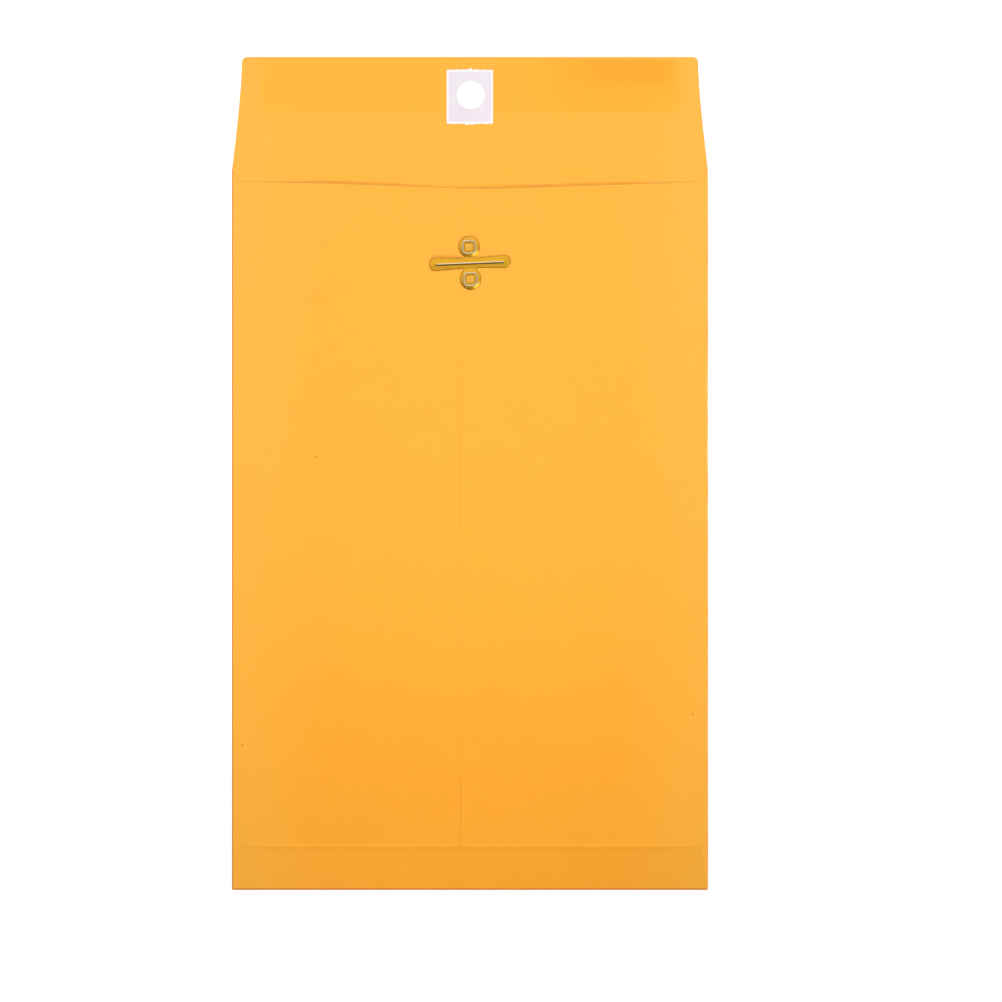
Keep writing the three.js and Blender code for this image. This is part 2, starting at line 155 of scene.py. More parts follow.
# How finely the sheets are divided, with finer strips by some edges, and what counts as one place

GRID = 2.5 * MM
EDGE_GRID = 1 * MM
SEAM_STRIP = 4 * MM
THROAT_STRIP = 6 * MM
FINE_GRID = 0.1 * MM
FOLD_STEPS = 10
LIP_STEPS = 12
TINY = 1e-6


# Small helpers

def smooth(value):
    """0 below 0, 1 above 1, and an even S between them."""
    value = min(max(value, 0.0), 1.0)
    return value * value * (3 - 2 * value)


def spaced(start, end, step):
    """Values from start to end, evenly spaced and at most step apart."""
    count = max(1, math.ceil(abs(end - start) / step - 1e-6))
    return [start + (end - start) * i / count for i in range(count + 1)]


def graded(start, *runs):
    """Values from start on through each run, which gives its end and its largest step."""
    values = [start]
    for end, step in runs:
        values += spaced(values[-1], end, step)[1:]
    return values


def arc(x, y, radius, start, end, steps):
    """Points on an arc, with its angles in degrees."""
    angles = (math.radians(start + (end - start) * i / steps) for i in range(steps + 1))
    return [(x + radius * math.cos(a), y + radius * math.sin(a)) for a in angles]


def bezier(p0, p1, p2, p3, steps):
    """Points on the curve from p0 to p3 that p1 and p2 pull to themselves."""
    points = []
    for i in range(steps + 1):
        t = i / steps
        weights = ((1 - t) ** 3, 3 * t * (1 - t) ** 2, 3 * t * t * (1 - t), t ** 3)
        points.append(tuple(sum(w * p[k] for w, p in zip(weights, (p0, p1, p2, p3))) for k in (0, 1)))
    return points


def rounded_rectangle(x0, y0, x1, y1, radius, steps=4):
    """A rectangle between two corners, as a ring that runs anticlockwise."""
    points = arc(x1 - radius, y1 - radius, radius, 0, 90, steps)
    points += arc(x0 + radius, y1 - radius, radius, 90, 180, steps)
    points += arc(x0 + radius, y0 + radius, radius, 180, 270, steps)
    points += arc(x1 - radius, y0 + radius, radius, 270, 360, steps)
    return points


# Thin sheets, drawn flat

def with_grid_points(ring, us, vs):
    """The ring with a point wherever one of its sides crosses a grid line."""
    points = []
    for a, b in zip(ring, ring[1:] + ring[:1]):
        axis = 0 if abs(b[0] - a[0]) >= abs(b[1] - a[1]) else 1
        span = b[axis] - a[axis]
        crossings = [(line - a[axis]) / span for line in (us, vs)[axis]] if span else []
        points.append(a)
        for t in sorted(t for t in crossings if 1e-4 < t < 1 - 1e-4):
            points.append((a[0] + (b[0] - a[0]) * t, a[1] + (b[1] - a[1]) * t))
    return points


def inside_ring(points, ring):
    """For each point, whether it lies inside the ring."""
    x, y = points[:, 0], points[:, 1]
    inside = np.zeros(len(points), bool)
    for (ax, ay), (bx, by) in zip(ring, ring[1:] + ring[:1]):
        if ay == by:
            continue
        crosses = (ay > y) != (by > y)
        inside ^= crosses & (x < (bx - ax) * (y - ay) / (by - ay) + ax)
    return inside


def ring_distance(points, ring):
    """For each point, how far it is from the ring's nearest side."""
    nearest = np.full(len(points), np.inf)
    for a, b in zip(ring, ring[1:] + ring[:1]):
        a, side = np.array(a), np.subtract(b, a)
        along = np.clip((points - a) @ side / max(side @ side, 1e-18), 0, 1)
        nearest = np.minimum(nearest, np.linalg.norm(points - a - along[:, None] * side, axis=1))
    return nearest


def triangulate(rings, us, vs, clear, lines=()):
    """Fills the first ring, leaves the others open, and adds grid points that keep clear of them.

    No triangle crosses one of the lines, which are closed rings too."""
    rings = [with_grid_points(rings[0], us, vs), *rings[1:]]
    grid = np.array([(u, v) for u in us for v in vs])
    keep = inside_ring(grid, rings[0])
    for ring in rings[1:]:
        keep &= ~inside_ring(grid, ring)
    for ring in [*rings, *lines]:
        keep &= ring_distance(grid, ring) > clear
    points = []
    edges = []
    for ring in [*rings, *lines]:
        first = len(points)
        points += ring
        edges += [(first + i, first + (i + 1) % len(ring)) for i in range(len(ring))]
    points += [tuple(p) for p in grid[keep]]
    found = delaunay_2d_cdt([Vector(p) for p in points], edges, [], 1, 1e-8)
    points = np.array([tuple(p) for p in found[0]])
    triangles = np.array([tuple(face) for face in found[2]])
    middles = points[triangles].mean(axis=1)
    keep = np.ones(len(triangles), bool)
    for ring in rings[1:]:
        keep &= ~inside_ring(middles, ring)
    return points, [tuple(int(i) for i in t) for t in triangles[keep]]


def border(triangles):
    """The sides that belong to one triangle only, in that triangle's direction."""
    sides = [(t[i], t[(i + 1) % 3]) for t in triangles for i in range(3)]
    known = set(sides)
    return [(a, b) for a, b in sides if (b, a) not in known]


def joined(first, size, count, closed=False):
    """Faces between each ring of size points and the next one, from the point numbered first on."""
    faces = []
    for j in range(count if closed else count - 1):
        here = first + j * size
        after = first + (j + 1) % count * size
        for i in range(size):
            beside = (i + 1) % size
            faces.append((here + i, here + beside, after + beside, after + i))
    return faces


def mesh_object(name, points, faces, materials, kinds=None, sharp=40):
    """A smooth-shaded object at the origin. kinds gives each face's place in materials."""
    mesh = bpy.data.meshes.new(name)
    mesh.from_pydata([tuple(p) for p in points], [], faces)
    for material in materials:
        mesh.materials.append(material)
    if kinds:
        mesh.polygons.foreach_set("material_index", kinds)
    shell = bmesh.new()
    shell.from_mesh(mesh)
    bmesh.ops.recalc_face_normals(shell, faces=shell.faces)
    shell.to_mesh(mesh)
    shell.free()
    mesh.shade_smooth()
    mesh.set_sharp_from_angle(angle=math.radians(sharp))
    piece = bpy.data.objects.new(name, mesh)
    bpy.context.scene.collection.objects.link(piece)
    return piece


def sheet(name, rings, us, vs, place, materials, open_side=None, clear=0.8 * MM):
    """A thin sheet. place gives a flat point's position on its lower face, 0, or upper face, 1."""
    flat, triangles = triangulate(rings, us, vs, clear)
    count = len(flat)
    points = [place(u, v, 1) for u, v in flat] + [place(u, v, 0) for u, v in flat]
    faces = list(triangles)
    faces += [(c + count, b + count, a + count) for a, b, c in triangles]
    kinds = [0] * len(faces)
    for a, b in border(triangles):
        if open_side and open_side(*(flat[a] + flat[b]) / 2):
            continue
        faces.append((b, a, a + count, b + count))
        kinds.append(len(materials) - 1)
    return mesh_object(name, points, faces, materials, kinds, sharp=24)


def film(name, node, outline, step_x, step_y, place, faces, holes=(), clear=0.8 * MM):
    """A thin sheet that stands for a node, with the given materials, and hides the node."""
    low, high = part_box(node)
    us = spaced(low.x, high.x, step_x)
    vs = spaced(low.y, high.y, step_y)
    piece = sheet(name, [outline, *holes], us, vs, place, faces, clear=clear)
    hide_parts(node)
    return piece


# Heights of the back

def fold_radius(y):
    """Outside radius of a side fold, which is crushed flat where it ends at the flap."""
    share = smooth((FOLD_Y - y) / CRUSHED_REACH)
    return CRUSHED_FOLD_RADIUS + (FOLD_RADIUS - CRUSHED_FOLD_RADIUS) * share


def low_z(y):
    """Underside of a side panel beside its fold."""
    return 2 * fold_radius(y) - PAPER


def swell(x, y):
    """Underside of the lower side panel."""
    from_side = min(x - LEFT_X, RIGHT_X - x) / SWELL_REACH
    from_bottom = (y - FLAP_EDGE_Y) / SWELL_REACH
    low = low_z(y)
    height = low + (PANEL_Z - low) * smooth(from_side) * smooth(from_bottom)
    pressed = BOTTOM_PRESS * smooth((FLAP_EDGE_Y - y) / BOTTOM_PRESS_RAMP + 1)
    height -= pressed * smooth((from_side * SWELL_REACH - PRESS_START) / PRESS_FADE)
    across = math.exp(-(x / MOUTH_HALF_WIDTH) ** 2)
    return height - MOUTH_DIP * across * smooth((y - FOLD_Y + MOUTH_REACH) / MOUTH_REACH)


def seam_opening(y):
    """How far the seam's free edge stands open at y, from 0 to 1."""
    total = 0.0
    for start, end in SEAM_OPEN_ZONES:
        total += smooth((y - start) / SEAM_ZONE_FADE) * smooth((end - y) / SEAM_ZONE_FADE)
    return total


def upper_panel(x, y):
    """Underside of the right side panel, which lies on the left one near the seam."""
    overlap = 1 - smooth((x - HIDDEN_EDGE_X) / OVERLAP_FADE)
    opening = seam_opening(y)
    curl = (1 - smooth((x - SEAM_X) / SEAM_CURL)) * (SEAM_LIFT * opening - SEAM_PRESS * (1 - opening))
    under_clasp = smooth(1 - (abs(y - CLASP_Y) - CLASP_HOLD) / CLASP_HOLD_FADE)
    return swell(x, y) + (PAPER + GLUE) * overlap + curl * (1 - under_clasp)


def bottom_flap_z(x, y):
    """Underside of the bottom flap. Its glue on the side panels thins out at its edges."""
    if x < SEAM_X:
        step = smooth((x - SEAM_X) / SEAM_STEP + 1)
    else:
        step = 1 - smooth((x - HIDDEN_EDGE_X) / OVERLAP_FADE)
    from_end = smooth((RIGHT_X - abs(x) - GLUE_END) / GLUE_END_FADE)
    at_edge = smooth((y - FLAP_EDGE_Y) / BOTTOM_EDGE_REACH + 1)
    glue = GLUE * (THIN_GLUE + (1 - THIN_GLUE) * from_end) * (1 - (1 - THIN_GLUE) * at_edge)
    return swell(x, y) + PAPER + glue + (PAPER + GLUE) * step


def throat_y(x):
    """The shallow V across the top of the back."""
    reach = RIGHT_X - THROAT_FLAT - math.copysign(THROAT_X, x - THROAT_X)
    from_middle = max(abs(x - THROAT_X) - THROAT_FLAT, 0) / reach
    power = THROAT_LEFT_POWER if x < THROAT_X else THROAT_RIGHT_POWER
    drop = (THROAT_CENTRE_DEPTH - THROAT_SIDE_DEPTH) * (1 - from_middle) ** power
    return FOLD_Y - THROAT_SIDE_DEPTH - drop


# The clasp

EYELET_OPENING = 2.7 * MM
EYELET_CORNER = 0.45 * MM
EYELET_CLEAR = 0.35 * MM
LOBE_Y = 5.15 * MM
LOBE_RADIUS = 3.45 * MM
LOBE_CROWN = 0.1 * MM
LOBE_CROWN_REACH = 1.3 * MM
NECK_UPPER = 1.7 * MM
NECK_LOWER = 2.1 * MM
NECK_FILLET = 0.35 * MM
PRONG_END = 13.1 * MM
PRONG_TIP = 2.05 * MM
PRONG_ROOT = 1.6 * MM
PRONG_HINGE = 2.4 * MM
PRONG_CROWN = 0.04 * MM
OUTLINE_STEP = 0.5 * MM
BRASS_SHEET = 0.25 * MM
BRASS_ROUND = 0.12 * MM
BRASS_ROUND_LINES = (0.08, 0.3, 0.6, 1.0)
BRASS_LIFT = 0.02 * MM
RIB_END = 11.15 * MM
RIB_HALF_WIDTH = 0.52 * MM
RIB_HEIGHT = 0.15 * MM
RIB_HIGHLIGHT_HEIGHT = 0.1 * MM
CLASP_TILT = math.radians(2.4)


def clasp_place(x, y, z):
    """From the clasp's own frame, with its prongs along X and Z 0 on the paper, to the envelope's."""
    turned = Matrix.Rotation(CLASP_TILT, 3, "Z") @ Vector((x, y, z))
    return turned + Vector((CLASP_X, CLASP_Y, CLASP_Z))


def opening_ring(grow, steps):
    """The square opening of an eyelet, grown a little, round the eyelet's own middle."""
    half = EYELET_OPENING / 2 + grow
    return rounded_rectangle(-half, -half, half, half, EYELET_CORNER + grow, steps)


def eyelet_hole(side):
    """The hole in the paper that an eyelet passes through, in the envelope's plane."""
    ring = opening_ring(EYELET_CLEAR, 3)
    placed = [clasp_place(x, y + side * LOBE_Y, 0) for x, y in ring]
    return [(p.x, p.y) for p in placed]


# Materials

# A mix node has a pair of inputs and a result for each kind of value. These are the colours'.
MIX_COLOUR_A, MIX_COLOUR_B = 6, 7
MIX_COLOUR_RESULT = 2


class Nodes:
    """A node tree. Each call adds nodes to it and returns the socket that carries their result."""

    def __init__(self, tree, coordinates):
        self.tree = tree
        self.place = self.add("TexCoord", {}, coordinates)

    def put(self, socket, value):
        """Gives a socket another one's result, a number, a vector or a colour's three channels."""
        if isinstance(value, bpy.types.NodeSocket):
            self.tree.links.new(value, socket)
        else:
            socket.default_value = (*value, 1) if socket.type == "RGBA" else value

    def add(self, kind, inputs, output=0, **settings):
        """One node, with its settings and with its inputs' values or links."""
        node = self.tree.nodes.new("ShaderNode" + kind)
        for name, value in settings.items():
            setattr(node, name, value)
        for name, value in inputs.items():
            self.put(node.inputs[name], value)
        return node.outputs[output]

    def math(self, operation, a, b=0.0):
        return self.add("Math", {0: a, 1: b}, operation=operation)

    def times(self, *factors):
        product = factors[0]
        for factor in factors[1:]:
            product = self.math("MULTIPLY", product, factor)
        return product

    def axis(self, name):
        return self.add("SeparateXYZ", {0: self.place}, name)

    def distance(self, x, y):
        """How far a point is from (x, y), seen from above."""
        inputs = {0: self.turned((1, 1, 0)), 1: (x, y, 0)}
        return self.add("VectorMath", inputs, "Value", operation="DISTANCE")

    def turned(self, scale, angle=0.0):
        """The coordinates, scaled and turned about Z by angle in degrees."""
        rotation = (0, 0, math.radians(angle))
        return self.add("Mapping", {"Vector": self.place, "Rotation": rotation, "Scale": scale})

    def noise(self, scale, detail=2.0, vector=None, distortion=0.0):
        inputs = {"Vector": vector or self.place, "Scale": scale, "Detail": detail}
        return self.add("TexNoise", inputs | {"Distortion": distortion}, "Fac")

    def range(self, value, low, high, to_low=0.0, to_high=1.0, shape="SMOOTHSTEP"):
        """Maps low to to_low and high to to_high, and holds there outside."""
        inputs = {"Value": value, "From Min": low, "From Max": high, "To Min": to_low, "To Max": to_high}
        return self.add("MapRange", inputs, interpolation_type=shape)

    def mix(self, share, a, b, blend="MIX"):
        inputs = {"Factor": share, MIX_COLOUR_A: a, MIX_COLOUR_B: b}
        return self.add("Mix", inputs, MIX_COLOUR_RESULT, data_type="RGBA", blend_type=blend)

    def tinted(self, colour, tint, share):
        """The colour, multiplied by the tint where share is 1."""
        return self.mix(share, colour, self.mix(1.0, colour, tint, "MULTIPLY"))


class Surface(Nodes):
    """A procedural material."""

    def __init__(self, name, colour, roughness):
        self.data = bpy.data.materials.new(name)
        self.data.use_nodes = True
        super().__init__(self.data.node_tree, "Object")
        self.shader = self.tree.nodes["Principled BSDF"]
        self.set("Base Color", colour)
        self.set("Roughness", roughness)

    def set(self, name, value):
        self.put(self.shader.inputs[name], value)

    def relief(self, *layers):
        """Bumps, the finest first, each of them with its height, its depth and its strength."""
        under = {}
        for height, depth, strength in layers:
            inputs = {"Height": height, "Distance": depth, "Strength": strength}
            under = {"Normal": self.add("Bump", inputs | under, "Normal")}
        self.set("Normal", under["Normal"])


def scaled(colour, factor):
    return tuple(channel * factor for channel in colour)


KRAFT = (0.99, 0.415, 0.032)
KRAFT_LIGHT = (1.0, 0.60, 0.22)
# Painted shade along the folds' outer edges
KRAFT_FOLD_SHADE = (0.60, 0.20, 0.03)
# Painted light for the paper seen down the eyelets
KRAFT_PAINTED_LIGHT = (1.0, 0.53, 0.06)
GUM_ON_KRAFT = (0.985, 0.405, 0.0205)
# Painted sheen on the gum, darker and more saturated towards its right end
GUM_SHEEN_TINT = (1, 0.955, 0.66)
GUM_STRONG_SHEEN_TINT = (0.99, 0.9, 0.78)
BRASS = (0.86, 0.44, 0.01)
BRASS_TARNISHED = (0.74, 0.34, 0.01)
# Painted highlight on the brass crests
BRASS_HIGHLIGHT = (1.0, 0.86, 0.70)
# Painted shade in the eyelets' inner walls and along the stamping's edges
BRASS_SHADE = (0.26, 0.12, 0.02)

# Dark specks on the paper: X, Y and radius in mm
SPECKS = ((-49.4, 5.2, 0.5), (-72.8, -87.0, 0.45), (71.3, -77.1, 0.45), (-33.7, 126.2, 0.4))


def paper_fibres(paper):
    """Fine fibres that cross each other, from 0 to 1."""
    along = paper.noise(1.0, 3, paper.turned((420, 2600, 900), 12))
    across = paper.noise(1.0, 3, paper.turned((2300, 480, 900), -17))
    return paper.times(paper.math("ADD", along, across), 0.5)


def kraft_colour(paper, tone):
    """Gold kraft over the given tone: soft clouds, fine mottle, dark and light fibres, and painted light
    and shade across the sheet.
    """
    clouds = paper.range(paper.noise(75, 3), 0.3, 0.7)
    colour = paper.mix(clouds, scaled(tone, 0.985), tone)
    mottle = paper.range(paper.noise(700, 2), 0.3, 0.7)
    colour = paper.mix(paper.times(mottle, 0.35), colour, scaled(tone, 0.955))
    fibres = paper_fibres(paper)
    colour = paper.mix(paper.range(fibres, 0.56, 0.72, 0, 0.5), colour, scaled(tone, 0.93))
    pale = tuple(min(channel + 0.02, 1) for channel in tone)
    colour = paper.mix(paper.range(fibres, 0.42, 0.3, 0, 0.35), colour, pale)
    return painted_light_gradient(paper, colour), fibres


def painted_light_gradient(paper, colour):
    """Painted light and shade across the sheet: paler at its top and sides, darker and more orange low
    down.
    """
    y = paper.axis("Y")
    low = paper.range(y, -40 * MM, -90 * MM)
    side = paper.range(paper.math("ABSOLUTE", paper.axis("X")), 45 * MM, 75 * MM)
    colour = paper.tinted(colour, (1, 1, 1.5), paper.range(y, BOTTOM_Y, TOP_Y))
    colour = paper.tinted(colour, (1, 0.955, 0.86), low)
    colour = paper.tinted(colour, (1, 1.045, 1.3), side)
    return paper.tinted(colour, (1, 1.055, 1.2), paper.times(low, side))


def kraft(name, tone, right_end=None):
    """The paper's faces, with flecks, specks, painted shade on the folds and a rubbed right fold.
    right_end is a tint of its right end.
    """
    paper = Surface(name, tone, 0.62)
    colour, fibres = kraft_colour(paper, tone)
    if right_end:
        colour = paper.tinted(colour, right_end, paper.range(paper.axis("X"), LEFT_X, RIGHT_X))
    from_fleck = paper.add("TexVoronoi", {"Vector": paper.place, "Scale": 95}, "Distance")
    in_groups = paper.range(paper.noise(30, 1), 0.55, 0.62)
    flecks = paper.times(paper.range(from_fleck, 0.035, 0.014), in_groups, 0.5)
    colour = paper.mix(flecks, colour, scaled(tone, 0.45))
    for x, y, size in SPECKS:
        away = paper.distance(x * MM, y * MM)
        share = paper.range(away, size * MM, 0.2 * size * MM, 0, 0.8)
        colour = paper.mix(share, colour, scaled(tone, 0.4))
    paper.set("Base Color", fold_shade_and_wear(paper, painted_light_under_eyelets(paper, colour)))
    paper.set("Roughness", paper.range(fibres, 0.35, 0.65, 0.56, 0.7))
    paper.set("Specular IOR Level", 0.25)
    paper.set("Sheen Weight", 0.04)
    paper.relief((paper.noise(1900, 3), 0.012 * MM, 0.5), (fibres, 0.02 * MM, 0.6))
    return paper.data


def painted_light_under_eyelets(paper, colour):
    """Painted light: the address panel's inner face is brighter where it shows through the eyelets,
    standing in for the light that falls in.
    """
    z = paper.axis("Z")
    inner_face = paper.times(paper.range(z, 0.24 * MM, 0.28 * MM), paper.range(z, 0.9 * MM, 0.7 * MM))
    for side in (1, -1):
        middle = clasp_place(0, side * LOBE_Y, 0)
        near = paper.range(paper.distance(middle.x, middle.y), 3 * MM, 2 * MM)
        colour = paper.mix(paper.times(near, inner_face), colour, KRAFT_PAINTED_LIGHT)
    return colour


def fold_shade_and_wear(paper, colour):
    """Painted shade darkens the folds' outer edges, and the right fold is rubbed pale, most along its
    middle.
    """
    x = paper.axis("X")
    y = paper.axis("Y")
    left = paper.range(x, LEFT_X + 0.5 * MM, LEFT_X + 0.2 * MM)
    right = paper.range(x, RIGHT_X - 0.3 * MM, RIGHT_X - 0.1 * MM, 0, 0.5)
    bottom = paper.range(y, BOTTOM_Y + 0.9 * MM, BOTTOM_Y + 0.3 * MM)
    fold_shade = paper.math("MAXIMUM", paper.math("MAXIMUM", left, right), bottom)
    colour = paper.mix(paper.times(fold_shade, 0.8), colour, KRAFT_FOLD_SHADE)
    rubbed = paper.range(x, RIGHT_X - 0.7 * MM, RIGHT_X - 0.15 * MM)
    middle = paper.times(paper.range(y, -30 * MM, -5 * MM), paper.range(y, 50 * MM, 25 * MM))
    strength = paper.math("ADD", paper.times(middle, 0.7), 0.5)
    ragged = paper.range(paper.noise(1.0, 3, paper.turned((900, 130, 900))), 0.35, 0.6)
    return paper.mix(paper.times(rubbed, strength, ragged), colour, KRAFT_LIGHT)


def cut_edge_and_highlight(name, tone):
    """The sheet's cut edge, rougher than its faces and paler: partly the raw fibres' own tone, partly a
    painted highlight along the edges.
    """
    edge = Surface(name, tone, 0.85)
    strands = edge.noise(1.0, 2, edge.turned((1500, 1500, 9000)))
    edge.set("Base Color", edge.mix(strands, scaled(tone, 0.9), tone))
    edge.relief((strands, 0.02 * MM, 1))
    return edge.data


def gum_material():
    """Dried gum on kraft: a thin glossy film, uneven along X, with painted sheen that makes it darker
    and more saturated towards its right end.
    """
    gum = Surface("dried_gum", GUM_ON_KRAFT, 0.4)
    colour, fibres = kraft_colour(gum, GUM_ON_KRAFT)
    streaks = gum.range(gum.noise(1.0, 2, gum.turned((18, 110, 50))), 0.35, 0.65)
    colour = gum.mix(gum.times(streaks, 0.3), colour, scaled(GUM_ON_KRAFT, 0.97))
    x = gum.axis("X")
    painted_sheen = gum.times(gum.range(x, 68 * MM, 63 * MM), gum.range(x, 14 * MM, 34 * MM))
    near_top = gum.range(gum.axis("Y"), TOP_Y - 12 * MM, TOP_Y - 6 * MM)
    strong_painted_sheen = gum.times(painted_sheen, gum.range(x, 22 * MM, 48 * MM), near_top)
    colour = gum.tinted(colour, GUM_SHEEN_TINT, painted_sheen)
    gum.set("Base Color", gum.tinted(colour, GUM_STRONG_SHEEN_TINT, strong_painted_sheen))
    gum.set("Roughness", gum.range(streaks, 0, 1, 0.46, 0.34))
    gum.set("Specular IOR Level", 0.4)
    gum.relief((gum.noise(500, 3), 0.02 * MM, 0.5), (fibres, 0.01 * MM, 0.4))
    return gum.data


def glue_material():
    """Dried paste, swirled where the sheets were pressed together."""
    paste = Surface("paste", (0.78, 0.66, 0.36), 0.55)
    swirl = paste.noise(160, 3, distortion=1.5)
    paste.set("Base Color", paste.mix(swirl, (0.70, 0.57, 0.27), (0.86, 0.75, 0.46)))
    paste.relief((swirl, 0.03 * MM, 1))
    return paste.data


def patch_material(low, high):
    """White reinforcing paper with a faint pink cast, paler along its borders."""
    patch = Surface("patch_paper", (0.74, 0.67, 0.72), 0.7)
    clouds = patch.range(patch.noise(170, 2), 0.35, 0.65)
    tone = patch.mix(clouds, (0.735, 0.655, 0.715), (0.75, 0.69, 0.73))
    margins = []
    for name, start, end in (("X", low.x, high.x), ("Y", low.y, high.y)):
        from_middle = patch.math("SUBTRACT", patch.axis(name), (start + end) / 2)
        from_middle = patch.math("ABSOLUTE", from_middle)
        margins.append(patch.math("SUBTRACT", (end - start) / 2, from_middle))
    rim = patch.range(patch.math("MINIMUM", *margins), 0.75 * MM, 0.35 * MM)
    patch.set("Base Color", patch.mix(rim, tone, (0.84, 0.825, 0.83)))
    fibres = paper_fibres(patch)
    patch.set("Roughness", patch.range(fibres, 0.35, 0.65, 0.62, 0.78))
    patch.set("Specular IOR Level", 0.3)
    patch.relief((patch.noise(1500, 3), 0.015 * MM, 0.6), (fibres, 0.02 * MM, 0.6))
    return patch.data


def brass_material(name, tone, tarnished):
    """Stamped brass with fine scratches and dents, in the second tone where it has tarnished."""
    brass = Surface(name, tone, 0.3)
    tarnish = brass.range(brass.noise(420, 3), 0.42, 0.68)
    brass.set("Base Color", brass.mix(brass.times(tarnish, 0.3), tone, tarnished))
    brass.set("Metallic", 1.0)
    brass.set("Roughness", brass.range(brass.noise(700, 3), 0.3, 0.7, 0.1, 0.16))
    brass.set("Coat Weight", 0.5)
    brass.set("Coat Roughness", 0.1)
    scratches = brass.noise(1.0, 2, brass.turned((350, 5200, 900), 2.4))
    brass.relief((brass.noise(450, 1), 0.006 * MM, 0.5), (scratches, 0.0015 * MM, 0.5))
    return brass.data


KRAFT_PAPER = kraft("kraft_paper", KRAFT)
KRAFT_BOTTOM = kraft("kraft_bottom_flap", scaled(KRAFT, 0.995), right_end=(0.97, 0.95, 0.85))
# The cut edges' pale tones are partly the raw fibres' own colour and partly a painted highlight along
# the edges
CUT_EDGE_AND_HIGHLIGHT = cut_edge_and_highlight("kraft_cut_edge_and_highlight", (1.0, 0.72, 0.15))
BOTTOM_CUT_EDGE_AND_HIGHLIGHT = cut_edge_and_highlight("kraft_bottom_cut_edge_and_highlight", (1.0, 0.56, 0.08))
KRAFT_FACES = [KRAFT_PAPER, CUT_EDGE_AND_HIGHLIGHT]


# The folded sheet

def flap_outline():
    """The closure flap: straight to the shoulder, then drawing in towards round corners."""
    top_x = RIGHT_X - FLAP_TOP_INSET
    top_y = TOP_Y - FLAP_CORNER_RADIUS
    shoulder_y = FOLD_Y + FLAP_SHOULDER
    handles = [
        (RIGHT_X - inset_share * FLAP_TOP_INSET, shoulder_y + height_share * (top_y - shoulder_y))
        for inset_share, height_share in (FLAP_LOW_HANDLE, FLAP_HIGH_HANDLE)
    ]
    right = bezier((RIGHT_X, shoulder_y), *handles, (top_x, top_y), 14)[:-1]
    right += arc(top_x - FLAP_CORNER_RADIUS, top_y, FLAP_CORNER_RADIUS, 0, 90, 8)
    return right + [(-x, y) for x, y in reversed(right)]


def clasp_hole():
    """The round hole in the closure flap and in its patch."""
    return arc(HOLE_X, HOLE_Y, HOLE_RADIUS, 0, 360, 72)[:-1]


def front_and_flap():
    """The address panel and the closure flap, one sheet with a crease between them."""
    bend_left = LEFT_X + FOLD_RADIUS
    bend_right = RIGHT_X - FOLD_RADIUS
    start_y = BOTTOM_Y + BOTTOM_RADIUS
    outline = [(bend_left, start_y), (bend_right, start_y), (bend_right, FOLD_Y)]
    outline += flap_outline()
    outline += [(bend_left, FOLD_Y)]
    us = spaced(bend_left, bend_right, GRID)
    crease = (FOLD_Y - 2 * CREASE_HALF, FOLD_Y + 2 * CREASE_HALF)
    vs = graded(start_y, (crease[0], GRID), (crease[1], CREASE_HALF / 6), (TOP_Y, GRID))

    def joins_a_fold(u, v):
        return v < start_y + TINY or (v < FOLD_Y + FLAP_SHOULDER and abs(u) > bend_right - TINY)

    def place(u, v, face):
        from_clasp = math.hypot(u - CLASP_X, v - CLASP_Y)
        return (u, v, PAPER * face + FRONT_BULGE * smooth(1 - from_clasp / BULGE_REACH))

    rings = [outline, clasp_hole()]
    piece = sheet("front_and_closure_flap", rings, us, vs, place, KRAFT_FACES, joins_a_fold, 0.05 * MM)
    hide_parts("front_panel", "closure_flap")
    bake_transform(piece)


def folded(share, face, radius, room):
    """A point on a fold: how far out it lies from the bend line, and its height.

    share runs from 0 at the top sheet to 1 at the bottom one. room is how far out the fold reaches,
    so a radius under it leaves a straight run above and below the round."""
    straight = room - radius
    middle = radius - PAPER / 2
    along = share * (2 * straight + math.pi * middle)
    if along < straight:
        return along, 2 * radius - PAPER * (1 - face)
    if along > straight + math.pi * middle:
        return 2 * straight + math.pi * middle - along, PAPER * (1 - face)
    turn = (along - straight) / middle
    reach = radius - PAPER * (1 - face)
    return straight + reach * math.sin(turn), radius + reach * math.cos(turn)


def bend_with_mouth(piece, side):
    """Bakes the piece's placement into its mesh."""
    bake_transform(piece)


BOTTOM_RADIUS = (bottom_flap_z(SEAM_X, BOTTOM_Y) + PAPER) / 2
LIP_RISE = 0.3 * MM
LIP_START_Y = FOLD_Y + LIP_RISE
FOLD_LENGTH = math.pi * (FOLD_RADIUS - PAPER / 2)
BOTTOM_FOLD_LENGTH = math.pi * (BOTTOM_RADIUS - PAPER / 2)


